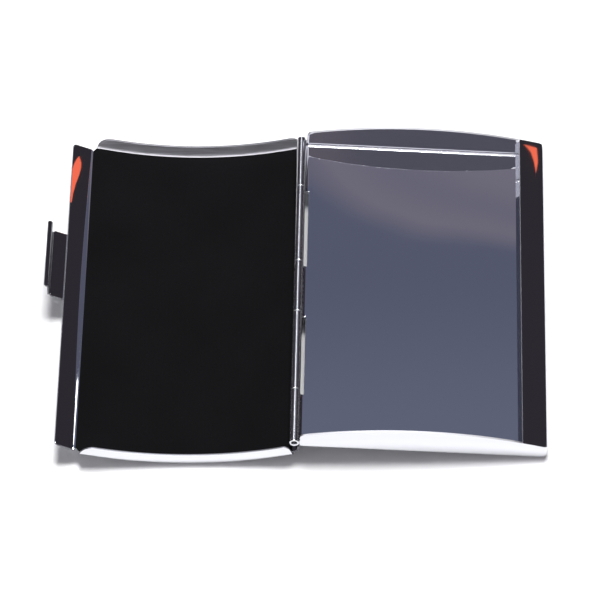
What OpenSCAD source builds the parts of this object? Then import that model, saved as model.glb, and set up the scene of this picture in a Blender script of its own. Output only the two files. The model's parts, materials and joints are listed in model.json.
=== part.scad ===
// Slim pocket case in polished sheet metal, lying open.
// Each half is drawn closed, with the hinge pin along Y over X = 0 and the
// tray's underside on Z = 0, and is then swung open and laid on the table.

/* [Tray] */
// Distance from the hinge pin to the outside of the tray's free wall
tray_w = 60.7; // [56:0.1:66]
// Length of the tray along the hinge
tray_len = 93; // [88:0.5:100]
// Thickness of the tray's sheet
tray_t = 0.5; // [0.4:0.05:0.6]
// Height of the tray's end walls at both ends of their arch
wall_low = 4.7; // [4.5:0.1:4.8]
// Height of the tray's end walls at the top of their arch
wall_high = 8.7; // [7.5:0.1:9]
// Outside radius of the bend between the floor and the walls
tray_bend = 1.2; // [0.9:0.1:1.4]
// Width of the lip turned in from the top of the free wall
lip_w = 6.2; // [4:0.1:8]
// Radius of the tray's upright corners
corner_r = 1; // [0.8:0.1:1.5]

/* [Lid] */
// Length of the lid over its two end rims
lid_len = 94.9; // [94.6:0.1:96]
// Thickness of the lid's sheet
lid_t = 0.4; // [0.3:0.05:0.5]
// Height of the closed lid's bow over the hinge pin
lid_low = 6; // [5.9:0.1:6.4]
// Height of the closed lid at the top of its bow
lid_high = 11.4; // [10.5:0.1:12]
// Depth of the lid's end rims
rim_h = 4.1; // [3:0.1:4.5]
// Outside radius of the bend between the panel and the rims
lid_bend = 1.2; // [0.9:0.1:1.3]
// Distance from the hinge pin to the free end of the rims
rim_end = 51.5; // [48:0.1:52]
// Distance from the hinge pin to the bend before the edge strip
strip_at = 52.9; // [52.5:0.1:54]
// Width of the sloping edge strip
strip_w = 5; // [4.5:0.1:5.2]
// Slope of the edge strip below the table line of the closed lid
strip_slope = 24; // [22:0.5:25]
// Length of the edge strip along the hinge
strip_len = 92; // [88:0.5:92.5]
// Thickness of the black lining
lining_t = 0.3; // [0.2:0.05:0.5]

/* [Hinge] */
// Height of the pin's axis over the tray's underside
pin_z = 1.9; // [1.8:0.05:2]
// Outside radius of the hinge tubes
tube_r = 1.2; // [1.1:0.05:1.25]
// Radius of the hinge pin
pin_r = 0.7; // [0.5:0.05:0.75]
// Length of each of the tray's three hinge tubes
short_tube = 15.4; // [12:0.1:17]
// Depth of the tray's two windows behind the lid's tubes
window_depth = 0.9; // [0.8:0.1:1.5]
// Angle between the closed and the open lid
open_angle = 181.3; // [180:0.1:181.5]

/* [Thumb clasp] */
// Length of the clasp along the lid's edge
clasp_len = 20; // [14:0.5:30]
// Middle of the clasp along the lid's edge
clasp_y = 7.5; // [-20:0.5:20]
// Thickness of the clasp's sheet
clasp_t = 0.4; // [0.3:0.05:0.45]
// Reach of the plate past the strip's edge, up to the bend
clasp_reach = 3.5; // [3.4:0.1:5]
// Height of the thumb bar from its bend to its tip
bar_h = 3.9; // [3:0.1:4.2]
// Lean of the thumb bar away from the tray's wall
bar_lean = 14; // [8:1:20]

/* [Hidden] */

$fn = 64;
BOW_FN = 720;      // facets of the wide arches
EPS = 0.01;
INSET = 0.02;      // step where two stretches of one sheet run into each other
BIG = 200;         // size of a cutting shape that passes the whole case
CUT = 1;           // overshoot of a cutting shape
WEDGE_REACH = 1.2; // reach of a wedge, in radii of what it cuts
CORNER_REACH = 3;
PIN_INSET = 0.5;   // the pin's ends lie this far inside the tubes' ends
END_WALL_GAP = 0.1;
LID_NOTCH_PLAY = 0.2;
RIM_PAST = 2;      // angle over which the rims are cut past the bow's edges
LINING_FREE = 0.2; // angles between the lining's edges and the strip and the hinge's bend
LINING_HINGE = 0.4;
PIN_PLAY = 0.05;   // running fit of the pin in the lid's tubes
TUBE_GAP = 0.05;   // end play between neighbouring tubes
SOLDER_GAP = 0.05; // height of the clasp over the strip
WALL_TOP_R = 0.9;  // rounding of the free wall's top edge
WALL_END_R = 1;    // rounding of the end walls' top corner at the hinge
RIM_FREE_R = 3.2;  // rounding of the rims' free corner
RIM_HINGE_R = 1.6; // rounding of the rims' hinge corner
RIM_CROSS = 0.03;  // the roundings start this far outside the rims' edges
STRIP_CORNER = 0.8;
BAR_CORNER = 0.8;
CLASP_BEND = 0.5;  // inside radius of the clasp's bend
EDGE_ROLL = 0.03;  // fullness of the plate's rounded inner edge, which it flexes about
BEAD_R = 0.2;      // radius of the bead along the bar's root
NOTCH_R = 0.45;    // relief at both ends of the clasp's bend
NOTCH_DEPTH = 3;
CREASE_LAP = 0.05; // the strip, the bend and the wall run into their neighbours
BEND_LAP = 5;
EDGE_LAP = 0.1;
PLATE_START = 1.5; // distance from the strip's bend to the plate's inner edge

mid = tray_w / 2;                                  // the arch and the bow are centred here
arch_rise = wall_high - wall_low;
arch_r = (mid * mid + arch_rise * arch_rise) / (2 * arch_rise);
arch_c = [mid, wall_high - arch_r];
bow_rise = lid_high - lid_low;
bow_r = round(50 * (mid * mid + bow_rise * bow_rise) / bow_rise) / 100;
bow_c = [mid, lid_high - bow_r];

hinge_out = tube_r - tray_t;                       // outside of the tray's hinge wall
hinge_in = tube_r;                                 // inside of it
end_wall_u = tube_r + END_WALL_GAP;                // where the end walls start
long_tube = (tray_len - 3 * short_tube) / 2;
long_y = (short_tube + long_tube) / 2;             // middle of each of the lid's tubes
short_y = short_tube + long_tube;                  // middle of the tray's outer tubes
lid_notch_z = 2 * pin_z + LID_NOTCH_PLAY;          // clears the tray's tubes and underside

// Unit vector at an angle
function dir(a) = [cos(a), sin(a)];
// Angle of the wide bow over a distance u from the pin
function bow_angle(u, r) = acos((u - mid) / r);

// Rounding centres on the arches
wall_top_c = [tray_w - WALL_TOP_R,
              arch_c[1] + sqrt(pow(arch_r - WALL_TOP_R, 2) - pow(mid - WALL_TOP_R, 2))];
wall_top_a = bow_angle(wall_top_c[0], arch_r - WALL_TOP_R);
wall_end_c = [end_wall_u + WALL_END_R,
              arch_c[1] + sqrt(pow(arch_r - WALL_END_R, 2)
                               - pow(mid - end_wall_u - WALL_END_R, 2))];
wall_end_a = bow_angle(wall_end_c[0], arch_r - WALL_END_R);
lid_corner_c = [lid_bend - tube_r,
                bow_c[1] + sqrt(pow(bow_r - lid_bend, 2) - pow(mid + tube_r - lid_bend, 2))];
lid_corner_a = bow_angle(lid_corner_c[0], bow_r - lid_bend);

// The strip is creased down from the bow's free edge
strip_a = bow_angle(strip_at, bow_r);
strip_o = bow_c + bow_r * dir(strip_a);

// The clasp's bend and the root and tip of its bar
plate_len = strip_w - PLATE_START + clasp_reach;
plate_o = strip_o + PLATE_START * dir(-strip_slope) + SOLDER_GAP * dir(90 - strip_slope);
flex_c = plate_o + clasp_t / 2 * dir(90 - strip_slope);
clasp_bend_c = plate_o + plate_len * dir(-strip_slope) - CLASP_BEND * dir(90 - strip_slope);
bar_o = clasp_bend_c + CLASP_BEND * dir(bar_lean);
bar_tip = bar_o + bar_h * dir(bar_lean - 90) + clasp_t * dir(bar_lean);

// Resting pose: the tray's far lower edge and the lid's bow both touch the table
over = open_angle - 180;
foot_u = tray_w - tray_bend;
pose_s = foot_u + mid * cos(over) + (pin_z - bow_c[1]) * sin(over);
pose_c = pin_z - tray_bend - mid * sin(over) + (pin_z - bow_c[1]) * cos(over);
tray_tilt = asin((bow_r - tray_bend) / norm([pose_s, pose_c])) - atan2(pose_c, pose_s);
pin_h = foot_u * sin(tray_tilt) + (pin_z - tray_bend) * cos(tray_tilt) + tray_bend;
lid_turn = tray_tilt - open_angle;
reach_right = wall_top_c[0] * cos(tray_tilt) + (wall_top_c[1] - pin_z) * sin(tray_tilt)
              + WALL_TOP_R;
reach_left = -(bar_tip[0] * cos(lid_turn) + (bar_tip[1] - pin_z) * sin(lid_turn));
pin_x = (reach_left - reach_right) / 2;

// Moves a closed half to its place on the table, turned about the pin
module lay(turn)
    translate([pin_x, 0, pin_h]) rotate([0, turn, 0]) translate([0, 0, -pin_z]) children();

// Extrudes an outline drawn in X and Z along Y
module along_y(len) rotate([90, 0, 0]) linear_extrude(len, center = true) children();

// Part of the plane between two directions from a centre
module wedge(c, a0, a1, reach)
    polygon([c, for (i = [0:4]) c + reach * dir(a0 + (a1 - a0) * i / 4)]);

// Curved band about a centre
module band(c, r_out, r_in, a0, a1, fn = 96)
    intersection() {
        translate(c) difference() {
            circle(r_out, $fn = fn);
            circle(r_in, $fn = fn);
        }
        wedge(c, a0, a1, r_out * WEDGE_REACH);
    }

// What a rounding takes away from a corner
module corner_cut(c, r, a0, a1)
    difference() {
        wedge(c, a0, a1, r * CORNER_REACH);
        translate(c) circle(r);
    }

// Rectangle from x0 to x1 and from y0 to y1, with its lower corners rounded
module trough(x0, x1, y0, y1, r) {
    translate([x0, y0 + r]) square([x1 - x0, y1 - y0 - r]);
    translate([x0 + r, y0]) square([x1 - x0 - 2 * r, r + EPS]);
    for (x = [x0 + r, x1 - r]) translate([x, y0 + r]) circle(r);
}

// Plate with its far corners rounded, starting at X = 0 and centred on Y = 0
module rounded_plate(w, len, r) {
    translate([0, -len / 2]) square([w - r, len]);
    translate([0, r - len / 2]) square([w, len - 2 * r]);
    for (s = [-1, 1]) translate([w - r, s * (len / 2 - r)]) circle(r);
}

// Hinge tube centred at a distance y along the pin
module tube(y, len, bore)
    translate([0, y, pin_z]) rotate([90, 0, 0]) difference() {
        cylinder(h = len, r = tube_r, center = true);
        cylinder(h = len + 2 * CUT, r = bore, center = true);
    }

// Solid shape of the tray, shrunk by d on every side
module tray_block(d) {
    intersection() {
        along_y(tray_len - 2 * d) difference() {
            intersection() {
                trough(hinge_out + d, tray_w - d, d, wall_high + CUT, tray_bend - d);
                translate(arch_c) circle(arch_r - d, $fn = BOW_FN);
            }
            corner_cut(wall_top_c, WALL_TOP_R - d, 0, wall_top_a);
        }
        rotate([90, 0, 90]) linear_extrude(BIG, center = true)
            trough(d - tray_len / 2, tray_len / 2 - d, d, wall_high + CUT, tray_bend - d);
        rounded_post(tray_w - d, tray_len - 2 * d, corner_r - d);
    }
}

// Upright block with the tray's plan
module rounded_post(w, len, r)
    translate([0, 0, -CUT]) linear_extrude(wall_high + 3 * CUT) rounded_plate(w, len, r);

module tray_shell() color("silver") lay(tray_tilt)
    difference() {
        tray_block(0);
        tray_block(tray_t);
        // The mouth, open up to the lip
        translate([hinge_in, tray_t - tray_len / 2, wall_low - tray_t])
            cube([tray_w - lip_w - hinge_in, tray_len - 2 * tray_t, BIG]);
        // Over the low hinge wall, with the end walls' rounded corners
        translate([-CUT, -BIG / 2, pin_z]) cube([CUT + end_wall_u, BIG, BIG]);
        along_y(BIG) corner_cut(wall_end_c, WALL_END_R, wall_end_a, 180);
        // Seat of the hinge tubes and the windows behind the lid's tubes
        translate([0, 0, pin_z]) rotate([90, 0, 0]) cylinder(h = BIG, r = tube_r, center = true);
        for (s = [-1, 1]) translate([0, s * long_y - long_tube / 2, -CUT])
            cube([tube_r + window_depth, long_tube, pin_z + 2 * CUT]);
    }

module tray_tube(y) color("silver") lay(tray_tilt) tube(y, short_tube, pin_r);
module tray_tube_back() tray_tube(short_y);
module tray_tube_middle() tray_tube(0);
module tray_tube_front() tray_tube(-short_y);

module lid_tube(y) color("silver") lay(lid_turn)
    tube(y, long_tube - 2 * TUBE_GAP, pin_r + PIN_PLAY);
module lid_tube_back() lid_tube(long_y);
module lid_tube_front() lid_tube(-long_y);

module hinge_pin() color("dimgray") lay(tray_tilt)
    translate([0, 0, pin_z]) rotate([90, 0, 0])
        cylinder(h = tray_len - 2 * PIN_INSET, r = pin_r, center = true);

// The bowed panel with its bends and rims, turned about the bow's axis
module bow_sweep(a0, a1) {
    bend_y = lid_len / 2 - lid_bend;
    translate([bow_c[0], 0, bow_c[1]]) rotate([90, 0, 0]) rotate([0, 0, a0])
        rotate_extrude(angle = a1 - a0, $fn = BOW_FN) {
            translate([bow_r - lid_t, -bend_y]) square([lid_t, 2 * bend_y]);
            for (s = [0, 1]) mirror([0, s]) {
                band([bow_r - lid_bend, bend_y], lid_bend, lid_bend - lid_t, 0, 90);
                translate([bow_r - rim_h, lid_len / 2 - lid_t])
                    square([rim_h - lid_bend, lid_t]);
            }
        }
}

// Takes the rims away outside a length, between two angles of the bow
module rim_cut(len, a0, a1)
    for (s = [-1, 1]) translate([0, s * (len / 2 + BIG / 2), 0])
        along_y(BIG) wedge(bow_c, a0, a1, bow_r * WEDGE_REACH);

module lid_shell() {
    rim_in = bow_r - rim_h;
    a_free = bow_angle(rim_end, bow_r);
    a_hinge = bow_angle(0, bow_r);
    free_r = rim_in + RIM_FREE_R - RIM_CROSS;
    hinge_r = rim_in + RIM_HINGE_R - RIM_CROSS;
    free_a = a_free + asin((RIM_FREE_R - RIM_CROSS) / free_r);
    hinge_a = a_hinge - asin((RIM_HINGE_R - RIM_CROSS) / hinge_r);
    wall_len = lid_len - 2 * lid_bend - EDGE_LAP;
    color("silver") lay(lid_turn) difference() {
        union() {
            difference() {
                bow_sweep(strip_a, lid_corner_a);
                rim_cut(strip_len, strip_a - RIM_PAST, a_free);
                rim_cut(wall_len, a_hinge, lid_corner_a + RIM_PAST);
                along_y(BIG) corner_cut(bow_c + free_r * dir(free_a), RIM_FREE_R,
                                        free_a - 180, free_a - 90);
                along_y(BIG) corner_cut(bow_c + hinge_r * dir(hinge_a), RIM_HINGE_R,
                                        hinge_a + 90, hinge_a + 180);
            }
            // Edge strip
            translate([strip_o[0], 0, strip_o[1]]) rotate([0, strip_slope, 0])
                translate([-CREASE_LAP, 0, INSET - lid_t]) linear_extrude(lid_t - 2 * INSET)
                    rounded_plate(strip_w + CREASE_LAP, strip_len - 2 * INSET, STRIP_CORNER);
            // Hinge wall and the bend over it
            along_y(wall_len - 2 * INSET) {
                band(lid_corner_c, lid_bend - INSET, lid_bend - lid_t + INSET,
                     lid_corner_a - BEND_LAP, 180);
                translate([-tube_r, pin_z]) square([lid_t, lid_corner_c[1] - pin_z + EDGE_LAP]);
            }
        }
        // Seat of the lid's tubes and the cut-outs over the tray's
        translate([0, 0, pin_z]) rotate([90, 0, 0]) cylinder(h = BIG, r = tube_r, center = true);
        for (y = [-short_y, 0, short_y])
            translate([-tube_r - CUT, y - short_tube / 2 - TUBE_GAP, 0])
                cube([tube_r + CUT, short_tube + 2 * TUBE_GAP, lid_notch_z]);
    }
}

module lid_lining() color("black") lay(lid_turn)
    along_y(lid_len - 2 * lid_bend)
        band(bow_c, bow_r - lid_t, bow_r - lid_t - lining_t,
             strip_a + LINING_FREE, lid_corner_a - LINING_HINGE, BOW_FN);

module thumb_clasp() color("silver") lay(lid_turn) translate([0, clasp_y, 0])
    difference() {
        union() {
            along_y(clasp_len - 2 * INSET) {
                translate(plate_o) rotate(-strip_slope) square([plate_len + CREASE_LAP, clasp_t]);
                translate(flex_c) circle(clasp_t / 2 + EDGE_ROLL);
                band(clasp_bend_c, CLASP_BEND + clasp_t - INSET, CLASP_BEND + INSET,
                     bar_lean - BEND_LAP, 90 - strip_slope + BEND_LAP);
            }
            translate([bar_o[0], 0, bar_o[1]]) rotate([0, 90 - bar_lean, 0])
                translate([-CREASE_LAP, 0, 0]) linear_extrude(clasp_t)
                    rounded_plate(bar_h + CREASE_LAP, clasp_len, BAR_CORNER);
            along_y(clasp_len - 2 * BAR_CORNER)
                translate(bar_o + 2 * BEAD_R * dir(bar_lean - 90)) circle(BEAD_R);
        }
        for (s = [-1, 1])
            translate([clasp_bend_c[0], s * clasp_len / 2, clasp_bend_c[1]])
                rotate([0, 45, 0]) cylinder(h = NOTCH_DEPTH, r = NOTCH_R);
    }

tray_shell();
tray_tube_back();
tray_tube_middle();
tray_tube_front();
lid_shell();
lid_tube_back();
lid_tube_front();
lid_lining();
hinge_pin();
thumb_clasp();
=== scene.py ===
"""Looks of a slim pocket case in polished sheet metal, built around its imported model."""

import json
import math

import bmesh
import bpy
from mathutils import Matrix, Vector


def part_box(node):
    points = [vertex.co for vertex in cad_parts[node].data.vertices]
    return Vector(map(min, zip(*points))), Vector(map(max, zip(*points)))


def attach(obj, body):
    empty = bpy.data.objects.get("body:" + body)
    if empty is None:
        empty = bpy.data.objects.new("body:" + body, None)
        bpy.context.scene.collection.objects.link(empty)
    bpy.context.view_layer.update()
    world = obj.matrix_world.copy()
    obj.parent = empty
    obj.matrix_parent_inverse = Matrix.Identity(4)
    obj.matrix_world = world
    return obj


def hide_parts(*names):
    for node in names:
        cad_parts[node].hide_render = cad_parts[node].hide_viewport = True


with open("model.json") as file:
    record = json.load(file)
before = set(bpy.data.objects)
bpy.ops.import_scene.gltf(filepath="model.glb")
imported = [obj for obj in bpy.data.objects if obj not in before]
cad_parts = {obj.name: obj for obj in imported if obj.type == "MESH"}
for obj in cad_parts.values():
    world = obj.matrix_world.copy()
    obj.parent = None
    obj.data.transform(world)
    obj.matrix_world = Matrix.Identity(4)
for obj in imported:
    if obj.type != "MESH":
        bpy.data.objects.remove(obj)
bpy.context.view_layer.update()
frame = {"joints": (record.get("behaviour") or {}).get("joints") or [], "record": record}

bl_info = {
    "name": "Pocket case",
    "version": (1, 0, 0),
    "blender": (4, 5, 0),
    "location": "View3D > Sidebar > Pocket case",
    "description": "Detailed pieces, finishes and a studio for a hinged metal pocket case",
    "category": "Object",
}

MM = 0.001
JOINTS = {j["name"]: j for j in frame["joints"]}
PIN = Vector(JOINTS["lid_hinge"]["pos_m"])
UNDERSIDE = frame["record"]["mounts"][0]
TILT = math.atan2(-UNDERSIDE["axis"][0], -UNDERSIDE["axis"][2])
OPENED = math.radians(JOINTS["lid_hinge"]["range_deg"][1])
PIN_Z = 1.9 * MM          # height of the pin over the tray's underside
TUBE_R = 1.2 * MM
TUBE_BORE = 0.74 * MM

# The closed halves are drawn with the pin over X = 0 and the tray's underside on Z = 0
LID_R = 87.99 * MM        # outside of the lid's bow, and its centre
LID_CENTRE = Vector((30.35 * MM, -76.59 * MM))
LID_T = 0.4 * MM
CREASE_U = 52.9 * MM      # where the edge strip is creased
STRIP_END = Vector((57.468 * MM, 6.427 * MM))
FLAT_HALF = 46.25 * MM    # half of the lid's length between its end bends
STRIP_HALF = 46 * MM
WALL_HALF = 46.2 * MM
BEND_R = 1.2 * MM         # outside radius of the bends
RIM_DEPTH = 4.1 * MM
RIM_END_U = 51.5 * MM
NOTCH_W = 4.0 * MM        # the lid's hinge wall is cut away below this over the tray's tubes
NOTCH_Y = (7.75 * MM, 31.05 * MM)   # and stands between these distances from the middle
TRAY_R = 117.14 * MM      # arch of the tray's end walls, and its centre
TRAY_CENTRE = Vector((30.35 * MM, -108.44 * MM))
TRAY_T = 0.5 * MM
TRAY_U = (0.7 * MM, 60.7 * MM)      # outsides of the hinge wall and the free wall
TRAY_HALF = 46.5 * MM
LIP_U = 54.5 * MM         # inner edge of the lip
WALL_START_U = 1.3 * MM   # the end walls stand clear of the hinge
WINDOW_U = 2.1 * MM       # the windows behind the lid's tubes reach into the floor
WINDOW_Y = (7.7 * MM, 31.1 * MM)
WALL_END_R = 1 * MM       # rounding of the end walls' corner at the hinge, and its centre
WALL_END_C = (2.3 * MM, 4.26 * MM)
WALL_TOP_R = 0.9 * MM     # rounding of the free wall's top edge, and its centre
WALL_TOP_C = (59.8 * MM, 4.007 * MM)
ARCH_ENDS = (2.06 * MM, 60.03 * MM)   # between these the end walls follow their arch
STRIP_CORNER = 0.8 * MM
RIM_FREE_R = 3.2 * MM     # rounding of the rims' free corner and of their hinge corner
RIM_HINGE_R = 1.6 * MM
STRIP_SLOPE = math.radians(24)
CLASP_T = 0.4 * MM
CLASP_LEN = 20 * MM
CLASP_Y = 7.5 * MM
PLATE_LEN = 7 * MM        # from under the edge strip to the clasp's bend
PLATE_LAP = 3.5 * MM      # how much of it lies under the strip
SOLDER_GAP = 0.05 * MM

# Satin insides of the rims: a lighter copy of the polished plating's colour, painted light that
# brightens the rims
SATIN_WITH_PAINTED_LIGHT = "#F2F2F5"
TRAY_EDGE = "#A9A9AE"
# The lid's and clasp's cut edges: a darker copy of the tray's edge colour, painted shade
LID_EDGE_PAINTED_SHADE = "#75757B"
TUBE_HAZE = 0.16          # the tubes are tumbled, and only the sheets are buffed


# ---------------------------------------------------------------- settings

class CaseSettings(bpy.types.PropertyGroup):
    lining_colour: bpy.props.StringProperty(
        name="Lining", description="Colour of the flocked lining", default="#141416")
    metal_colour: bpy.props.StringProperty(
        name="Metal", description="Colour of the polished plating", default="#D9DADE")
    lining_t: bpy.props.FloatProperty(
        name="Lining thickness", description="Thickness of the flocked card",
        default=0.3 * MM, unit="LENGTH")
    tube_seam: bpy.props.FloatProperty(
        name="Tube seam", description="Width of the seam along each hinge tube",
        default=0.12 * MM, unit="LENGTH")
    edge_round: bpy.props.FloatProperty(
        name="Edge rounding", description="Radius that polishing leaves on the sheet's edges",
        default=0.04 * MM, unit="LENGTH")


class StageSettings(bpy.types.PropertyGroup):
    elevation: bpy.props.FloatProperty(
        name="Elevation", description="Height angle of the camera",
        default=math.radians(53.2), subtype="ANGLE")
    turn: bpy.props.FloatProperty(
        name="Turn", description="Turn of the camera around the case",
        default=math.radians(4.5), subtype="ANGLE")
    roll: bpy.props.FloatProperty(
        name="Roll", description="Roll of the camera",
        default=math.radians(-4.17), subtype="ANGLE")
    distance: bpy.props.FloatProperty(
        name="Distance", description="Distance from the camera to the hinge",
        default=1115.5 * MM, unit="LENGTH")
    lens: bpy.props.FloatProperty(
        name="Lens", description="Focal length", default=273.0, unit="CAMERA")
    floor_colour: bpy.props.StringProperty(
        name="Floor", description="Colour of the table", default="#F4F4F5")


# ---------------------------------------------------------------- helpers

def linear(hex_colour):
    """sRGB hex to a linear colour with alpha."""
    rgb = [int(hex_colour.lstrip("#")[i:i + 2], 16) / 255 for i in (0, 2, 4)]
    return tuple(c / 12.92 if c <= 0.04045 else ((c + 0.055) / 1.055) ** 2.4 for c in rgb) + (1.0,)


def add_node(tree, kind, inputs=None, **settings):
    """Adds a node. inputs maps a socket's name or number to a value or to another node's output."""
    node = tree.nodes.new(kind)
    for name, value in settings.items():
        setattr(node, name, value)
    for name, value in (inputs or {}).items():
        if isinstance(value, bpy.types.NodeSocket):
            tree.links.new(value, node.inputs[name])
        else:
            node.inputs[name].default_value = value
    return node


def new_material(name):
    material = bpy.data.materials.new(name)
    material.use_nodes = True
    material.node_tree.nodes.clear()
    return material, material.node_tree


def finish_material(tree, surface):
    add_node(tree, "ShaderNodeOutputMaterial", {"Surface": surface.outputs[0]})


def placed(turn):
    """Matrix that takes a closed half's own frame to its place, turned about the pin."""
    return (Matrix.Translation(PIN) @ Matrix.Rotation(turn, 4, "Y")
            @ Matrix.Translation((0, 0, -PIN_Z)))


def new_piece(name, bm, matrix, material, body, slot, *nodes, sheet_faces=None):
    """Makes the piece. A single sheet says if its largest faces look up or down."""
    bm.transform(matrix)
    bmesh.ops.recalc_face_normals(bm, faces=bm.faces)
    if sheet_faces:
        widest = max(bm.faces, key=lambda f: f.calc_area())
        if (widest.normal.z > 0) != (sheet_faces == "up"):
            bmesh.ops.reverse_faces(bm, faces=bm.faces)
    mesh = bpy.data.meshes.new(name)
    bm.to_mesh(mesh)
    bm.free()
    mesh.materials.append(material)
    piece = bpy.data.objects.new(name, mesh)
    bpy.context.scene.collection.objects.link(piece)
    mesh.shade_smooth()
    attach(piece, body)
    if nodes:
        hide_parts(*nodes)
    return piece


def thicken(piece, thickness, inside, rim):
    """Makes a sheet as thick as it is, inwards; its inside and cut edge use later materials."""
    sheet = piece.modifiers.new("sheet", "SOLIDIFY")
    sheet.thickness = thickness
    sheet.offset = -1
    sheet.use_even_offset = True
    sheet.material_offset = inside
    sheet.material_offset_rim = rim


def polish_edges(piece, width):
    """Closes the mesh, rounds its sharp edges and keeps its flats flat."""
    weld = piece.modifiers.new("weld", "WELD")
    weld.merge_threshold = 1e-6
    bevel = piece.modifiers.new("edges", "BEVEL")
    bevel.width = width
    bevel.segments = 2
    bevel.limit_method = "ANGLE"
    bevel.angle_limit = math.radians(40)
    bevel.harden_normals = False
    normals = piece.modifiers.new("flats", "WEIGHTED_NORMAL")
    normals.weight = 100
    normals.keep_sharp = False


def soft_step(tree, value, start, end):
    return add_node(tree, "ShaderNodeMapRange", {
        "Value": value, "From Min": start, "From Max": end}, interpolation_type="SMOOTHSTEP").outputs[0]


# ---------------------------------------------------------------- materials

def polished_chrome(name, colour, haze=0.0):
    """Chrome plate over buffed brass: a mirror, with faint wipe marks and fine hairlines."""
    material, tree = new_material(name)
    place = add_node(tree, "ShaderNodeTexCoord")
    # Wipe marks, about 12 mm across
    wipe = add_node(tree, "ShaderNodeTexNoise", {
        "Vector": place.outputs["Object"], "Scale": 1 / (12 * MM), "Detail": 4.0,
        "Roughness": 0.55})
    rough = add_node(tree, "ShaderNodeMapRange", {
        "Value": wipe.outputs["Fac"], "From Min": 0.35, "From Max": 0.75,
        "To Min": 0.03 + haze, "To Max": 0.05 + haze})
    # Hairlines from handling, drawn 0.3 mm wide so that they show
    stretch = add_node(tree, "ShaderNodeMapping", {
        "Vector": place.outputs["Object"], "Scale": (0.06, 1.0, 1.0),
        "Rotation": (0.0, 0.0, math.radians(20))})
    lines = add_node(tree, "ShaderNodeTexNoise", {
        "Vector": stretch.outputs[0], "Scale": 1 / (0.3 * MM), "Detail": 2.0})
    bump = add_node(tree, "ShaderNodeBump", {
        "Height": lines.outputs["Fac"], "Strength": 0.01, "Distance": 0.01 * MM})
    shader = add_node(tree, "ShaderNodeBsdfPrincipled", {
        "Base Color": linear(colour), "Metallic": 1.0,
        "Roughness": rough.outputs[0], "Normal": bump.outputs[0]})
    finish_material(tree, shader)
    return material


def sheared_edge(colour):
    """Tumbled edge of the cut sheet: plated, but soft and without a mirror's glint."""
    material, tree = new_material("tumbled_chrome_edge")
    place = add_node(tree, "ShaderNodeTexCoord")
    # Tumbling marks, 0.5 mm across
    marks = add_node(tree, "ShaderNodeTexNoise", {
        "Vector": place.outputs["Object"], "Scale": 1 / (0.5 * MM), "Detail": 2.0})
    rough = add_node(tree, "ShaderNodeMapRange", {
        "Value": marks.outputs["Fac"], "To Min": 0.4, "To Max": 0.6})
    shader = add_node(tree, "ShaderNodeBsdfPrincipled", {
        "Base Color": linear(colour), "Metallic": 1.0, "Roughness": rough.outputs[0]})
    finish_material(tree, shader)
    return material


def satin_inside(colour):
    """Unbuffed inside of the rims: satin, with the draw lines of the press along them."""
    material, tree = new_material("drawn_satin_chrome")
    place = add_node(tree, "ShaderNodeTexCoord")
    stretch = add_node(tree, "ShaderNodeMapping", {
        "Vector": place.outputs["Object"], "Scale": (0.04, 1.0, 1.0)})
    # Draw lines, 0.25 mm apart
    lines = add_node(tree, "ShaderNodeTexNoise", {
        "Vector": stretch.outputs[0], "Scale": 1 / (0.25 * MM), "Detail": 3.0})
    rough = add_node(tree, "ShaderNodeMapRange", {
        "Value": lines.outputs["Fac"], "From Min": 0.3, "From Max": 0.7,
        "To Min": 0.5, "To Max": 0.72})
    bump = add_node(tree, "ShaderNodeBump", {
        "Height": lines.outputs["Fac"], "Strength": 0.4, "Distance": 0.03 * MM})
    dark = tuple(c * 0.85 for c in linear(colour)[:3]) + (1.0,)
    shade = add_node(tree, "ShaderNodeMixRGB", {
        "Fac": soft_step(tree, lines.outputs["Fac"], 0.35, 0.65), "Color1": dark,
        "Color2": linear(colour)})
    shader = add_node(tree, "ShaderNodeBsdfPrincipled", {
        "Base Color": shade.outputs[0], "Metallic": 1.0,
        "Roughness": rough.outputs[0], "Normal": bump.outputs[0]})
    finish_material(tree, shader)
    return material


def black_flock(colour):
    """Rayon flock on card: short dense pile that takes the light in, with a faint nap."""
    material, tree = new_material("black_flock")
    place = add_node(tree, "ShaderNodeTexCoord")
    pile = add_node(tree, "ShaderNodeTexNoise", {
        "Vector": place.outputs["Object"], "Scale": 1 / (0.35 * MM), "Detail": 3.0})
    nap = add_node(tree, "ShaderNodeTexNoise", {
        "Vector": place.outputs["Object"], "Scale": 1 / (18 * MM), "Detail": 2.0})
    both = add_node(tree, "ShaderNodeMath", {0: pile.outputs["Fac"], 1: nap.outputs["Fac"]},
                    operation="MULTIPLY")
    shade = add_node(tree, "ShaderNodeMixRGB", {
        "Fac": both.outputs[0], "Color1": linear("#060607"), "Color2": linear(colour)})
    bump = add_node(tree, "ShaderNodeBump", {
        "Height": pile.outputs["Fac"], "Strength": 0.35, "Distance": 0.08 * MM})
    shader = add_node(tree, "ShaderNodeBsdfPrincipled", {
        "Base Color": shade.outputs[0], "Roughness": 0.95, "IOR": 1.45,
        "Specular IOR Level": 0.1, "Normal": bump.outputs[0]})
    finish_material(tree, shader)
    return material


def drawn_steel():
    """Drawn steel wire, unplated: dull grey, brushed along its length."""
    material, tree = new_material("drawn_steel")
    place = add_node(tree, "ShaderNodeTexCoord")
    stretch = add_node(tree, "ShaderNodeMapping", {
        "Vector": place.outputs["Object"], "Scale": (1.0, 0.05, 1.0)})
    lines = add_node(tree, "ShaderNodeTexNoise", {
        "Vector": stretch.outputs[0], "Scale": 1 / (0.1 * MM), "Detail": 2.0})
    rough = add_node(tree, "ShaderNodeMapRange", {
        "Value": lines.outputs["Fac"], "To Min": 0.3, "To Max": 0.55})
    shader = add_node(tree, "ShaderNodeBsdfPrincipled", {
        "Base Color": linear("#5A5A5E"), "Metallic": 1.0, "Roughness": rough.outputs[0]})
    finish_material(tree, shader)
    return material


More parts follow.
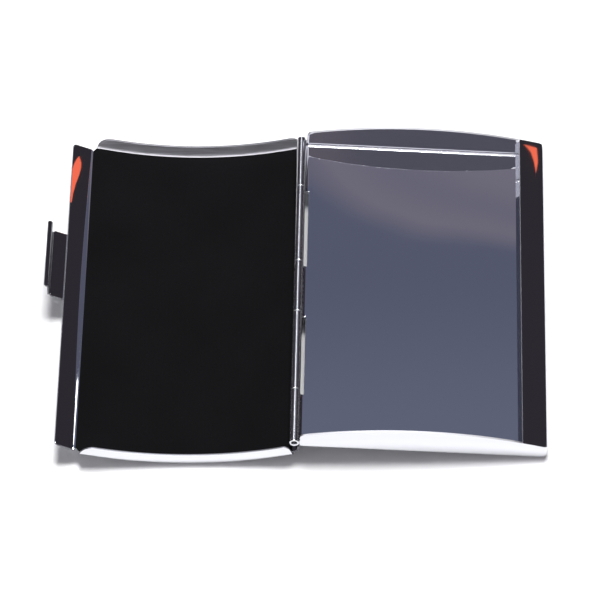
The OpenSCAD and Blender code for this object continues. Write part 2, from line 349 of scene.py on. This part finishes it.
def table_top(colour):
    """White laminate, matt."""
    material, tree = new_material("white_laminate")
    shader = add_node(tree, "ShaderNodeBsdfPrincipled", {
        "Base Color": linear(colour), "Roughness": 0.6, "IOR": 1.5})
    finish_material(tree, shader)
    return material


# ---------------------------------------------------------------- pieces

def grid_faces(bm, rows, keep=lambda i, j: True):
    """Faces between neighbouring rows of vertices, each with its row and column."""
    made = []
    for i in range(len(rows) - 1):
        for j in range(len(rows[i]) - 1):
            if keep(i, j):
                face = bm.faces.new((rows[i][j], rows[i][j + 1], rows[i + 1][j + 1], rows[i + 1][j]))
                made.append((i, j, face))
    return made


def rounded_depth(distance, full, radius):
    """Depth of a straight edge near its rounded corner."""
    s = min(max(distance, 0.0), radius)
    return full - radius + math.sqrt(radius ** 2 - (radius - s) ** 2)


def on_bow(u, inset=0.0):
    """Point of the lid's bow over a distance u from the pin, and its outward direction."""
    r = LID_R - inset
    angle = math.acos((u - LID_CENTRE.x) / r)
    out = Vector((math.cos(angle), math.sin(angle)))
    return LID_CENTRE + out * r, out


def land(y):
    """Start and end of the shallow land along the crease: wide and soft in the middle."""
    fullness = (1 - min(abs(y) / STRIP_HALF, 1.0) ** 2) ** 1.5
    least = 0.08 if y > 0 else 0.25
    width = (least + (1.3 - least) * fullness) * MM
    slope = math.radians(2 * fullness + (6 if y > 0 else -2.2) * (1 - fullness))
    start, _ = on_bow(CREASE_U - 0.35 * width)
    end = start + Vector((width, -width * math.tan(slope)))
    return start, end


def rim_section(depth):
    """Points down an end rim: their drop under the bow and their reach past the flat."""
    turn = math.acos(max(1 - depth / BEND_R, 0.0))
    bent = BEND_R * turn
    length = bent + max(depth - BEND_R, 0.0)
    section = []
    steps = 16
    for k in range(1, steps + 1):
        along = length * k / steps
        if along <= bent:
            beta = along / BEND_R
            section.append((BEND_R * (1 - math.cos(beta)), BEND_R * math.sin(beta)))
        else:
            section.append((BEND_R + along - bent, BEND_R))
    return section


def lid_pressing(name, metal, satin, edge):
    """The lid: edge strip, crease, bow, end rims, hinge bend and notched hinge wall, in one sheet."""
    # Columns: fractions of the flat's half width, with edges at the hinge wall's notches
    marks = [-FLAT_HALF, -NOTCH_Y[1], -NOTCH_Y[0], NOTCH_Y[0], NOTCH_Y[1], FLAT_HALF]
    steps = 10
    ys = [a + (b - a) * k / steps for a, b in zip(marks, marks[1:]) for k in range(steps)]
    ys.append(FLAT_HALF)
    fractions = [y / FLAT_HALF for y in ys]

    bm = bmesh.new()
    rows, rims = [], []

    def add_row(point_at, half):
        rows.append([bm.verts.new((p.x, f * half, p.y)) for f in fractions
                     for p in (point_at(f * half),)])

    # Edge strip, from its free edge with rounded corners to the land, at distances in mm
    for s in (0.0, 0.05, 0.2, 0.45, 0.8, 1.6, 2.6, 3.4):
        half = rounded_depth(s * MM, STRIP_HALF, STRIP_CORNER)
        add_row(lambda y, s=s: STRIP_END + (land(y)[1] - STRIP_END).normalized() * s * MM, half)
    for back, ahead in ((0.3, 0.0), (0.08, 0.0), (0.0, 0.08), (0.0, 0.5), (0.0, 0.92), (0.0, 1.0)):
        def crease_point(y, back=back, ahead=ahead):
            start, end = land(y)
            if ahead:
                return end.lerp(start, ahead)
            return end + (STRIP_END - end).normalized() * back * MM
        add_row(crease_point, STRIP_HALF)
    # The bow, with a relief notch between the strip and the rims, each row's place in mm
    for u, half in ((52.2, 45.3), (51.95, 45.2), (51.7, 45.3), (51.56, 45.9)):
        def soft_point(y, u=u * MM):
            return on_bow(min(u, land(y)[0].x - 0.05 * MM * (53 * MM - u) / (1.3 * MM)))[0]
        add_row(soft_point, half * MM)
    end_angle = math.acos((RIM_END_U - LID_CENTRE.x) / LID_R)
    pin_angle = math.acos(-LID_CENTRE.x / LID_R)
    first_rim = len(rows)
    arc = (pin_angle - end_angle) * LID_R
    stations = [0.0, 0.1, 0.3, 0.6, 1.0, 1.6, 2.3, 3.2]
    stations = [s * MM for s in stations] + [arc * k / 52 for k in range(4, 50)] + \
        [arc - s * MM for s in (1.6, 1.1, 0.7, 0.35, 0.12, 0.0)]
    for s in stations:
        angle = end_angle + s / LID_R
        out = Vector((math.cos(angle), math.sin(angle)))
        at = LID_CENTRE + out * LID_R
        add_row(lambda y, at=at: at, FLAT_HALF)
        depth = min(rounded_depth(s, RIM_DEPTH, RIM_FREE_R),
                    rounded_depth(arc - s, RIM_DEPTH, RIM_HINGE_R))
        section = [(at - out * drop, FLAT_HALF + reach) for drop, reach in rim_section(depth)]
        rims.append([[bm.verts.new((p.x, side * half, p.y)) for p, half in section]
                     for side in (-1, 1)])
    # Bend over the hinge and the hinge wall
    bend_r = LID_R - BEND_R
    centre = Vector((0.0, LID_CENTRE.y + math.sqrt(bend_r ** 2 - LID_CENTRE.x ** 2)))
    first = math.acos(-LID_CENTRE.x / bend_r)
    for k in range(1, 9):
        a = first + (math.pi - first) * k / 8
        at = centre + Vector((math.cos(a), math.sin(a))) * BEND_R
        add_row(lambda y, at=at: at, WALL_HALF)
    for w in (NOTCH_W, 3.4 * MM, 2.7 * MM, 2.1 * MM):
        at = Vector((-BEND_R, w))
        add_row(lambda y, at=at: at, WALL_HALF)
    notch_row = len(rows) - 4

    def sheet_there(i, j):
        middle = abs(ys[j] + ys[j + 1]) / 2
        return i < notch_row or NOTCH_Y[0] < middle < NOTCH_Y[1]
    grid_faces(bm, rows, sheet_there)
    for side, column in ((0, 0), (1, len(ys) - 1)):
        strips = [[rows[first_rim + i][column]] + rims[i][side] for i in range(len(rims))]
        for _, _, face in grid_faces(bm, strips):
            face.material_index = 2
    loose = [v for v in bm.verts if not v.link_faces]
    bmesh.ops.delete(bm, geom=loose, context="VERTS")

    piece = new_piece(name, bm, placed(TILT - OPENED), metal, "lid", "lid_metal", "lid_shell",
                      sheet_faces="down")
    # The rims' faces have slot 2: their outside, the next slot's inside and the cut edge follow
    for material in (metal, metal, satin, edge):
        piece.data.materials.append(material)
    thicken(piece, LID_T, 1, 4)
    return piece


def wall_top(u):
    """Height of the tray's top edge: rounded at the hinge, arched, rounded into the free wall."""
    if u < ARCH_ENDS[0]:
        return WALL_END_C[1] + math.sqrt(WALL_END_R ** 2 - (u - WALL_END_C[0]) ** 2)
    if u > ARCH_ENDS[1]:
        return WALL_TOP_C[1] + math.sqrt(max(WALL_TOP_R ** 2 - (u - WALL_TOP_C[0]) ** 2, 0.0))
    return TRAY_CENTRE.y + math.sqrt(TRAY_R ** 2 - (u - TRAY_CENTRE.x) ** 2)


def tray_pressing(name, metal, edge):
    """The tray: floor, two arched end walls, free wall with its lip, and a low hinge wall."""
    core = (TRAY_U[0] + BEND_R, TRAY_U[1] - BEND_R)
    core_half = TRAY_HALF - BEND_R
    corner = [math.radians(a) for a in range(15, 90, 15)]
    marks = [0.0, WINDOW_Y[0], WINDOW_Y[1], core_half]
    ys = [a + (b - a) * k / 8 for a, b in zip(marks, marks[1:]) for k in range(8)] + [core_half]
    fractions = [-y / core_half for y in reversed(ys[1:])] + [y / core_half for y in ys]
    us = [core[0], WINDOW_U] + [WINDOW_U + (LIP_U - WINDOW_U) * k / 44 for k in range(1, 45)]
    us += [LIP_U + (core[1] - LIP_U) * k / 6 for k in range(1, 7)]

    bm = bmesh.new()
    # Once round the walls: plan position and plan direction outwards
    loop = []
    for u in us:
        loop.append((Vector((u, TRAY_HALF)), Vector((0, 1))))
    for a in corner:
        out = Vector((math.sin(a), math.cos(a)))
        loop.append((Vector((core[1], core_half)) + out * BEND_R, out))
    for f in reversed(fractions):
        loop.append((Vector((TRAY_U[1], f * core_half)), Vector((1, 0))))
    for a in reversed(corner):
        out = Vector((math.sin(a), -math.cos(a)))
        loop.append((Vector((core[1], -core_half)) + out * BEND_R, out))
    for u in reversed(us):
        loop.append((Vector((u, -TRAY_HALF)), Vector((0, -1))))
    for a in corner:
        out = Vector((-math.sin(a), -math.cos(a)))
        loop.append((Vector((core[0], -core_half)) + out * BEND_R, out))
    for f in fractions:
        loop.append((Vector((TRAY_U[0], f * core_half)), Vector((-1, 0))))
    for a in reversed(corner):
        out = Vector((-math.sin(a), math.cos(a)))
        loop.append((Vector((core[0], core_half)) + out * BEND_R, out))

    turns = [math.radians(a) for a in range(0, 91, 10)]
    bend_rows, high_rows = len(turns), 5
    ribs = []
    for at, out in loop:
        rib = [(at - out * BEND_R * (1 - math.sin(b)), BEND_R * (1 - math.cos(b))) for b in turns]
        top = wall_top(max(at.x, WALL_START_U))
        rib += [(at, PIN_Z + (top - PIN_Z) * k / high_rows) for k in range(high_rows + 1)]
        ribs.append([bm.verts.new((p.x, p.y, w)) for p, w in rib])
    ribs.append(ribs[0])

    def in_window(y):
        return WINDOW_Y[0] < abs(y) < WINDOW_Y[1]

    def wall_there(i, j):
        a, b = loop[i][0], loop[(i + 1) % len(loop)][0]
        middle = (a + b) / 2
        if middle.x < core[0] and in_window(middle.y) and abs(middle.y) < core_half:
            return False
        return j < bend_rows or min(a.x, b.x) > WALL_START_U - 0.3 * MM and middle.x > WALL_START_U
    grid_faces(bm, ribs, wall_there)

    # Floor
    floor = [[bm.verts.new((u, f * core_half, 0)) for f in fractions] for u in us]
    grid_faces(bm, floor, lambda i, j: not (
        us[i + 1] <= WINDOW_U and in_window((fractions[j] + fractions[j + 1]) / 2 * core_half)))
    # Lip, in columns that meet the walls' own
    lip_us = [u for u in us if u > LIP_U - 0.01 * MM] + [core[1] + BEND_R * math.sin(a)
                                                       for a in corner] + [TRAY_U[1]]
    lip = []
    for u in lip_us:
        past = min(max(u - core[1], 0.0), BEND_R)
        half = core_half + math.sqrt(BEND_R ** 2 - past ** 2)
        lip.append([bm.verts.new((u, f * half, wall_top(u))) for f in fractions])
    grid_faces(bm, lip)
    bmesh.ops.remove_doubles(bm, verts=bm.verts, dist=0.01 * MM)
    loose = [v for v in bm.verts if not v.link_faces]
    bmesh.ops.delete(bm, geom=loose, context="VERTS")

    piece = new_piece(name, bm, placed(TILT), metal, "tray", "tray_metal", "tray_shell",
                      sheet_faces="down")
    piece.data.materials.append(edge)
    thicken(piece, TRAY_T, 0, 1)
    return piece


def lining_card(name, material):
    """The flocked card that is glued inside the lid, with soft edges and rounded corners."""
    half = FLAT_HALF + 0.3 * MM      # over the start of the bends
    glue = 0.02 * MM
    inset = LID_T + glue + bpy.context.scene.case.lining_t
    near, farthest, land_gap = 0.5 * MM, 52.3 * MM, 0.12 * MM
    hinge_corner, free_corner = 0.8 * MM, 1.2 * MM
    bm = bmesh.new()
    rows = []
    steps, columns = 72, 48
    for i in range(steps + 1):
        row = []
        for j in range(columns + 1):
            y = (2 * j / columns - 1) * half
            far = min(land(y)[0].x - land_gap, farthest)
            u = far + (near - far) * i / steps
            width = min(rounded_depth(u - near, half, hinge_corner),
                        rounded_depth(far - u, half, free_corner))
            at, _ = on_bow(u, inset)
            row.append(bm.verts.new((at.x, y * width / half, at.y)))
        rows.append(row)
    grid_faces(bm, rows)
    return new_piece(name, bm, placed(TILT - OPENED), material, "lid", "lining", "lid_lining",
                     sheet_faces="up")


def turned_about_pin(outline, middle, steps, seam, seam_turn):
    """Turns a closed outline of radii and distances along Y about the pin, with a dented seam."""
    bm = bmesh.new()
    rows = []
    for i in range(steps):
        angle = seam_turn + 2 * math.pi * i / steps
        dent = seam if i == 0 else 0.0
        rows.append([bm.verts.new(((r - dent) * math.cos(angle), y + middle,
                                   (r - dent) * math.sin(angle))) for r, y in outline])
    # A closed ring of closed sections
    for i in range(steps):
        here, there = rows[i], rows[(i + 1) % steps]
        for k in range(len(outline)):
            n = (k + 1) % len(outline)
            bm.faces.new((here[k], here[n], there[n], there[k]))
    bmesh.ops.remove_doubles(bm, verts=bm.verts, dist=0.001 * MM)
    return bm


def mirrored_ends(half_outline):
    """Outline of a part with two like ends, from its back half, listed from the inside out."""
    return half_outline + [(r, -y) for r, y in reversed(half_outline)]


def tube_piece(node, body, material, seam_turn):
    """A length of seamed tube with turned ends, in place of a hinge tube."""
    low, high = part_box(node)
    middle, half = (low.y + high.y) / 2, (high.y - low.y) / 2
    chamfer, ease = 0.09 * MM, 0.05 * MM
    # Extra rows close to the turned ends keep the barrel's long faces straight
    outline = mirrored_ends([
        (TUBE_BORE, half - 0.6 * MM), (TUBE_BORE, half - ease), (TUBE_BORE + ease, half),
        (TUBE_R - chamfer - 0.1 * MM, half), (TUBE_R - chamfer, half),
        (TUBE_R - chamfer * 0.3, half - chamfer * 0.3), (TUBE_R, half - chamfer),
        (TUBE_R, half - chamfer - 0.06 * MM), (TUBE_R, half - 0.5 * MM)])
    steps = 64
    seam_depth = bpy.context.scene.case.tube_seam / 2
    bm = turned_about_pin(outline, middle, steps, seam_depth, seam_turn)
    return new_piece(node.replace("tube", "seamed_tube"), bm, Matrix.Translation(PIN), material,
                     body, "hinge_metal", node)


def pin_piece(material):
    """The hinge pin, with its cut ends domed."""
    low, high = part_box("hinge_pin")
    half, r = (high.y - low.y) / 2, (high.x - low.x) / 2
    dome = 0.25 * MM
    angles = [math.radians(a) for a in range(15, 91, 15)]
    end = [(0.0, half)] + [(r * math.sin(a), half - dome * (1 - math.cos(a))) for a in angles]
    end += [(r, half - 2 * dome), (r, 0.0)]
    outline = end + [(q, -y) for q, y in reversed(end[:-1])]
    bm = bmesh.new()
    steps = 40
    rows = [[bm.verts.new((q * math.cos(2 * math.pi * i / steps), y,
                           q * math.sin(2 * math.pi * i / steps))) for q, y in outline]
            for i in range(steps)]
    grid_faces(bm, rows + rows[:1])
    bmesh.ops.remove_doubles(bm, verts=bm.verts, dist=0.001 * MM)
    return new_piece("domed_pin", bm, Matrix.Translation(PIN), material, "tray", "pin_steel",
                     "hinge_pin")


def clasp_pressing(name, metal, edge):
    """The thumb clasp: a plate on the edge strip, a riser, and an edge turned out for the thumb."""
    along = Vector((math.cos(STRIP_SLOPE), -math.sin(STRIP_SLOPE)))
    over = Vector((math.sin(STRIP_SLOPE), math.cos(STRIP_SLOPE)))
    root = STRIP_END - along * PLATE_LAP + over * (SOLDER_GAP + CLASP_T)
    bend_r, turn_r = 0.9 * MM, 0.3 * MM
    bend = root + along * PLATE_LEN - over * bend_r
    relief_r, relief_at = 0.45 * MM, math.radians(45)
    riser, thumb_edge, thumb_corner = 2.75 * MM, 0.7 * MM, 0.45 * MM

    # Outline of the sheet's outside, each point with half of the sheet's length there
    outline = [(root + along * s * MM, rounded_depth(s * MM, CLASP_LEN / 2, 0.3 * MM))
               for s in (0.0, 0.05, 0.15, 0.3, 1.5, 3.5, 5.5, 6.4, 6.8)]
    steps = 14
    for k in range(steps + 1):
        angle = (math.pi / 2 - STRIP_SLOPE) * (1 - k / steps)
        reach = (angle - relief_at) * bend_r
        relief = math.sqrt(max(relief_r ** 2 - reach ** 2, 0.0))
        outline.append((bend + Vector((math.cos(angle), math.sin(angle))) * bend_r,
                        CLASP_LEN / 2 - relief))
    outline += [(bend + Vector((bend_r, -s)), CLASP_LEN / 2)
                for s in (0.1 * MM, 0.6 * MM, 1.6 * MM, riser - 0.1 * MM, riser)]
    turn = bend + Vector((bend_r + turn_r, -riser))
    for k in range(1, 8):
        angle = math.radians(10 * k)
        at = turn - Vector((math.cos(angle), math.sin(angle))) * turn_r
        outline.append((at, CLASP_LEN / 2))
    outwards = Vector((math.sin(angle), -math.cos(angle)))
    for left in (0.45, 0.3, 0.18, 0.1, 0.04, 0.0):
        outline.append((at + outwards * (thumb_edge - left * MM),
                        rounded_depth(left * MM, CLASP_LEN / 2, thumb_corner)))

    bm = bmesh.new()
    columns = [-1, -0.985, -0.95] + [k / 8 for k in range(-7, 8)] + [0.95, 0.985, 1]
    rows = [[bm.verts.new((at.x, CLASP_Y + f * half, at.y)) for f in columns]
            for at, half in outline]
    grid_faces(bm, rows)
    piece = new_piece(name, bm, placed(TILT - OPENED), metal, "clasp", "lid_metal", "thumb_clasp",
                      sheet_faces="down")
    piece.data.materials.append(edge)
    thicken(piece, CLASP_T, 0, 1)
    return piece


# ---------------------------------------------------------------- operators

class CASE_OT_tray(bpy.types.Operator):
    """Press and polish the tray"""
    bl_idname = "case.tray"
    bl_label = "Tray"

    def execute(self, context):
        settings = context.scene.case
        tray = tray_pressing("tray_pressing", polished_chrome("tray_chrome", settings.metal_colour),
                             sheared_edge(TRAY_EDGE))
        polish_edges(tray, settings.edge_round)
        return {"FINISHED"}


class CASE_OT_lid(bpy.types.Operator):
    """Press and polish the lid and lay its lining"""
    bl_idname = "case.lid"
    bl_label = "Lid"

    def execute(self, context):
        settings = context.scene.case
        lid = lid_pressing("lid_pressing", polished_chrome("lid_chrome", settings.metal_colour),
                           satin_inside(SATIN_WITH_PAINTED_LIGHT), sheared_edge(LID_EDGE_PAINTED_SHADE))
        polish_edges(lid, settings.edge_round)
        lining = lining_card("lining_card", black_flock(settings.lining_colour))
        card = lining.modifiers.new("card", "SOLIDIFY")
        card.thickness = settings.lining_t
        card.offset = -1
        polish_edges(lining, 0.1 * MM)
        return {"FINISHED"}


class CASE_OT_hinge(bpy.types.Operator):
    """Build the hinge's tubes and its pin"""
    bl_idname = "case.hinge"
    bl_label = "Hinge"

    def execute(self, context):
        metal = polished_chrome("tube_chrome", context.scene.case.metal_colour, TUBE_HAZE)
        for node in ("tray_tube_back", "tray_tube_middle", "tray_tube_front"):
            tube_piece(node, "tray", metal, math.radians(-60))
        for node in ("lid_tube_back", "lid_tube_front"):
            tube_piece(node, "lid", metal, math.radians(-120))
        pin_piece(drawn_steel())
        return {"FINISHED"}


class CASE_OT_clasp(bpy.types.Operator):
    """Press and polish the thumb clasp"""
    bl_idname = "case.clasp"
    bl_label = "Thumb clasp"

    def execute(self, context):
        settings = context.scene.case
        clasp = clasp_pressing("clasp_pressing",
                               polished_chrome("clasp_chrome", settings.metal_colour),
                               sheared_edge(LID_EDGE_PAINTED_SHADE))
        polish_edges(clasp, settings.edge_round)
        return {"FINISHED"}


# ---------------------------------------------------------------- stage

def glow(name, colour, strength=1.0):
    """Lit card, an even colour."""
    material, tree = new_material(name)
    finish_material(tree, add_node(tree, "ShaderNodeEmission", {
        "Color": linear(colour), "Strength": strength}))
    return material


def clouded_glow(name, base, low, cloud, centre, radii):
    """Lit card that grows lighter towards its foot, with a soft cloud over it."""
    material, tree = new_material(name)
    place = add_node(tree, "ShaderNodeTexCoord")
    drift = add_node(tree, "ShaderNodeTexNoise", {
        "Vector": place.outputs["UV"], "Scale": 1 / (45 * MM), "Detail": 2.0})
    shift = add_node(tree, "ShaderNodeVectorMath", {
        0: drift.outputs["Color"], 1: (0.5, 0.5, 0.5)}, operation="SUBTRACT")
    moved = add_node(tree, "ShaderNodeVectorMath", {
        0: shift.outputs[0], 1: (12 * MM,) * 3, 2: place.outputs["UV"]}, operation="MULTIPLY_ADD")
    fit = add_node(tree, "ShaderNodeMapping", {
        "Vector": moved.outputs[0], "Location": (-centre[0] / radii[0], -centre[1] / radii[1], 0),
        "Scale": (1 / radii[0], 1 / radii[1], 0)})
    reach = add_node(tree, "ShaderNodeVectorMath", {0: fit.outputs[0]}, operation="LENGTH")
    ramp = add_node(tree, "ShaderNodeValToRGB", {"Fac": reach.outputs["Value"]})
    stops = ramp.color_ramp.elements
    stops[0].position, stops[0].color = 0.0, (0.75,) * 3 + (1,)
    stops[1].position, stops[1].color = 1.0, (0.0,) * 3 + (1,)
    for position, value in ((0.35, 0.95), (0.62, 0.6), (0.84, 0.9)):
        stop = stops.new(position)
        stop.color = (value,) * 3 + (1,)
    axes = add_node(tree, "ShaderNodeSeparateXYZ", {"Vector": place.outputs["UV"]})
    ground = add_node(tree, "ShaderNodeMixRGB", {
        "Fac": soft_step(tree, axes.outputs["Y"], 10 * MM, -35 * MM),
        "Color1": linear(base), "Color2": linear(low)})
    shade = add_node(tree, "ShaderNodeMixRGB", {
        "Fac": ramp.outputs["Color"], "Color1": ground.outputs[0], "Color2": linear(cloud)})
    finish_material(tree, add_node(tree, "ShaderNodeEmission", {"Color": shade.outputs[0]}))
    return material


def folded_glow(name, upper, lower, left):
    """Lit card: darkest along its top, lighter below a soft fold and towards its left side."""
    material, tree = new_material(name)
    place = add_node(tree, "ShaderNodeTexCoord")
    axes = add_node(tree, "ShaderNodeSeparateXYZ", {"Vector": place.outputs["UV"]})
    fold = add_node(tree, "ShaderNodeMixRGB", {
        "Fac": soft_step(tree, axes.outputs["Y"], 38.6 * MM, 41.2 * MM),
        "Color1": linear(lower), "Color2": linear(upper)})
    shade = add_node(tree, "ShaderNodeMixRGB", {
        "Fac": soft_step(tree, axes.outputs["X"], -14 * MM, -27 * MM),
        "Color1": fold.outputs[0], "Color2": linear(left)})
    finish_material(tree, add_node(tree, "ShaderNodeEmission", {"Color": shade.outputs[0]}))
    return material


def mirrored(vector, normal):
    return vector - normal * 2 * vector.dot(normal)


def hang_card(name, corners, outline, material):
    """Adds a lit card that the camera only sees in the polish; the outline is its pattern's."""
    bm = bmesh.new()
    uv = bm.loops.layers.uv.new("seen")
    face = bm.faces.new([bm.verts.new(corner) for corner in corners])
    for loop, point in zip(face.loops, outline):
        loop[uv].uv = point
    mesh = bpy.data.meshes.new(name)
    bm.to_mesh(mesh)
    bm.free()
    mesh.materials.append(material)
    card = bpy.data.objects.new(name, mesh)
    card.visible_camera = card.visible_shadow = card.visible_diffuse = False
    bpy.context.scene.collection.objects.link(card)


def card_in_mirror(name, view, at, normals, distance, outline, material, bow=1.0):
    """Hangs a card where flat polished faces, one after another, mirror it to the camera.

    The outline is drawn as it is seen, in metres from the point `at`, along the camera's
    side and rise. A bowed mirror squeezes what it shows, so its card is `bow` times wider.
    """
    eye, side, rise = view
    ray = (at - eye).normalized()
    for normal in normals:
        ray, side, rise = (mirrored(v, normal) for v in (ray, side, rise))
    spread = 1 + distance / (at - eye).length
    hang_card(name, [at + ray * distance + side * a * spread * bow + rise * b * spread
                     for a, b in outline], outline, material)


def card_in_twisted_mirror(name, eye, distance, faces, material):
    """Hangs a card whose corners a twisted polished face mirrors to the camera.

    Each corner is given by the point of the face that shows it and the upward direction there.
    """
    corners = [at + mirrored((at - eye).normalized(), up) * distance for at, up in faces]
    hang_card(name, corners, [(0, 0)] * len(corners), material)


def box_outline(x0, x1, y0, y1):
    return [(x0, y0), (x1, y0), (x1, y1), (x0, y1)]


def area_light(name, place, aim, size, radiance):
    """Softbox of a given brightness."""
    light = bpy.data.lights.new(name, "AREA")
    light.shape = "RECTANGLE"
    light.size, light.size_y = size
    light.energy = radiance * math.pi * size[0] * size[1]
    lamp = bpy.data.objects.new(name, light)
    lamp.location = place
    lamp.rotation_euler = (Vector(aim) - Vector(place)).to_track_quat("-Z", "Y").to_euler()
    bpy.context.scene.collection.objects.link(lamp)


def leaning(angle):
    """Upward direction that leans towards +X."""
    return Vector((math.sin(angle), 0, math.cos(angle)))


def strip_face(y, across):
    """Point on the edge strip, from its free edge to its crease, and its upward direction."""
    def point(y, across):
        at = STRIP_END.lerp(land(y)[1], across)
        return placed(TILT - OPENED) @ Vector((at.x, y, at.y))
    at = point(y, across)
    aside, along = point(y, across + 0.01) - at, point(y + 0.1 * MM, across) - at
    up = aside.cross(along).normalized()
    return at, up if up.z > 0 else -up


def room(shade, wall, dark, brightness, on_table):
    """Studio: white over the camera's side, grey-blue behind the case and dark at both sides.

    The white shows in the polish, and little of it falls on the table, so the key light's
    shadows stay.
    """
    world = bpy.data.worlds.new("studio")
    bpy.context.scene.world = world
    world.use_nodes = True
    tree = world.node_tree
    tree.nodes.clear()
    place = add_node(tree, "ShaderNodeTexCoord")
    axes = add_node(tree, "ShaderNodeSeparateXYZ", {"Vector": place.outputs["Generated"]})
    aside = add_node(tree, "ShaderNodeMath", {0: axes.outputs["X"]}, operation="ABSOLUTE")
    far = add_node(tree, "ShaderNodeMixRGB", {
        "Fac": soft_step(tree, aside.outputs[0], 0.28, 0.4),
        "Color1": linear(wall), "Color2": linear(dark)})
    front = soft_step(tree, axes.outputs["Y"], 0.25, -0.15)
    high = soft_step(tree, axes.outputs["Z"], 0.25, 0.5)
    lit = add_node(tree, "ShaderNodeMath", {0: front, 1: high}, operation="MULTIPLY")
    white = tuple(c * brightness for c in linear(shade)[:3]) + (1.0,)
    both = add_node(tree, "ShaderNodeMixRGB", {
        "Fac": lit.outputs[0], "Color1": far.outputs[0], "Color2": white})
    path = add_node(tree, "ShaderNodeLightPath")
    strength = add_node(tree, "ShaderNodeMapRange", {
        "Value": path.outputs["Is Diffuse Ray"], "To Min": 1.0, "To Max": on_table})
    back = add_node(tree, "ShaderNodeBackground", {
        "Color": both.outputs[0], "Strength": strength.outputs[0]})
    add_node(tree, "ShaderNodeOutputWorld", {"Surface": back.outputs[0]})


class CASE_OT_stage(bpy.types.Operator):
    """Set the table, the lights and the camera"""
    bl_idname = "case.stage"
    bl_label = "Stage"

    def execute(self, context):
        scene = context.scene
        stage = scene.case_stage
        scene.view_settings.view_transform = "Standard"

        bm = bmesh.new()
        bmesh.ops.create_grid(bm, x_segments=8, y_segments=8, size=2.5)
        mesh = bpy.data.meshes.new("table")
        bm.to_mesh(mesh)
        bm.free()
        mesh.materials.append(table_top(stage.floor_colour))
        table = bpy.data.objects.new("table", mesh)
        scene.collection.objects.link(table)

        # Camera
        e, a, r = stage.elevation, stage.turn, stage.roll
        back = Vector((math.sin(a) * math.cos(e), -math.cos(a) * math.cos(e), math.sin(e)))
        right = Vector((math.cos(a), math.sin(a), 0))
        up = back.cross(right)
        side = right * math.cos(r) + up * math.sin(r)
        rise = up * math.cos(r) - right * math.sin(r)
        camera = bpy.data.cameras.new("camera")
        camera.lens = stage.lens
        camera.sensor_width = 36
        camera.clip_end = 20
        eye = bpy.data.objects.new("camera", camera)
        # The hinge's middle lies a little above the middle of the view
        aim = PIN + side * 0.49 * MM - rise * 3.04 * MM
        turn = Matrix((side, rise, back)).transposed().to_4x4()
        eye.matrix_world = Matrix.Translation(aim + back * stage.distance) @ turn
        scene.collection.objects.link(eye)
        scene.camera = eye
        view = (eye.matrix_world.translation.copy(), side, rise)

        # Lights
        room("#F4F2F8", "#5E6072", "#353238", 1.6, 0.07)
        area_light("key", (0.06, 0.2, 1.2), (0, 0, 0), (0.42, 0.42), 36)
        area_light("barrel_light", PIN + Vector((-0.07, 0.6, 0.79)), PIN, (0.08, 0.4), 3.4)

        # Cards that the polished faces mirror
        floor_up = -Vector(UNDERSIDE["axis"])
        floor_at = Vector(UNDERSIDE["pos_m"])
        wall_in = Vector((0, -1, 0))
        card_in_mirror("cloud_card", view, floor_at, [floor_up], 0.5,
                       box_outline(-0.05, 0.05, -0.06, 0.06),
                       clouded_glow("cloud", "#63677C", "#6E7388", "#847F8D",
                                    (34 * MM, 38 * MM), (70 * MM, 27.7 * MM)))
        card_in_mirror("coat_card", view, floor_at, [wall_in, floor_up], 0.9,
                       box_outline(-0.08, 0.08, -0.06, 0.06),
                       folded_glow("grey_coat", "#504F58", "#6C6B77", "#7E7780"))
        orange = glow("orange_scarf", "#FF7355", 1.3)
        lip_u = 57.5 * MM
        lip_at = placed(TILT) @ Vector((lip_u, 42 * MM, wall_top(lip_u)))
        lip_up = leaning(TILT + math.asin((lip_u - TRAY_CENTRE.x) / TRAY_R))
        card_in_mirror("orange_on_lip", view, lip_at, [lip_up], 0.12,
                       [(-1.9 * MM, 3.06 * MM), (1.25 * MM, 2.1 * MM), (1.5 * MM, -1.6 * MM),
                        (1.1 * MM, -4.3 * MM), (0.63 * MM, -1.6 * MM), (-0.1 * MM, 0.74 * MM)],
                       orange, 2.6)
        # Places along the edge strip and across it, from its free edge to its crease
        flame = [(42.3, 0.3), (40.5, 0.44), (38.5, 0.44), (36.2, 0.36), (33.1, 0.2), (30, 0.1),
                 (27, 0.03), (27, -0.1), (36, -0.1), (39, 0.03), (41, 0.16)]
        card_in_twisted_mirror("orange_on_strip", view[0], 0.03,
                               [strip_face(y * MM, across) for y, across in flame], orange)
        return {"FINISHED"}


class CASE_PT_panel(bpy.types.Panel):
    """Lists the case's settings and operators"""
    bl_idname = "CASE_PT_panel"
    bl_label = "Pocket case"
    bl_space_type = "VIEW_3D"
    bl_region_type = "UI"
    bl_category = "Pocket case"

    def draw(self, context):
        for group in (context.scene.case, context.scene.case_stage):
            for name in group.bl_rna.properties.keys():
                if name not in ("rna_type", "name"):
                    self.layout.prop(group, name)
        for operator in OPERATORS:
            self.layout.operator(operator.bl_idname)


OPERATORS = (CASE_OT_tray, CASE_OT_lid, CASE_OT_hinge, CASE_OT_clasp, CASE_OT_stage)
CLASSES = (CaseSettings, StageSettings) + OPERATORS + (CASE_PT_panel,)


def register():
    for cls in CLASSES:
        bpy.utils.register_class(cls)
    bpy.types.Scene.case = bpy.props.PointerProperty(type=CaseSettings)
    bpy.types.Scene.case_stage = bpy.props.PointerProperty(type=StageSettings)


def unregister():
    del bpy.types.Scene.case_stage
    del bpy.types.Scene.case
    for cls in reversed(CLASSES):
        bpy.utils.unregister_class(cls)


def main():
    register()
    for step in (bpy.ops.case.tray, bpy.ops.case.lid, bpy.ops.case.hinge, bpy.ops.case.clasp,
                 bpy.ops.case.stage):
        step()


if __name__ == "__main__":
    main()
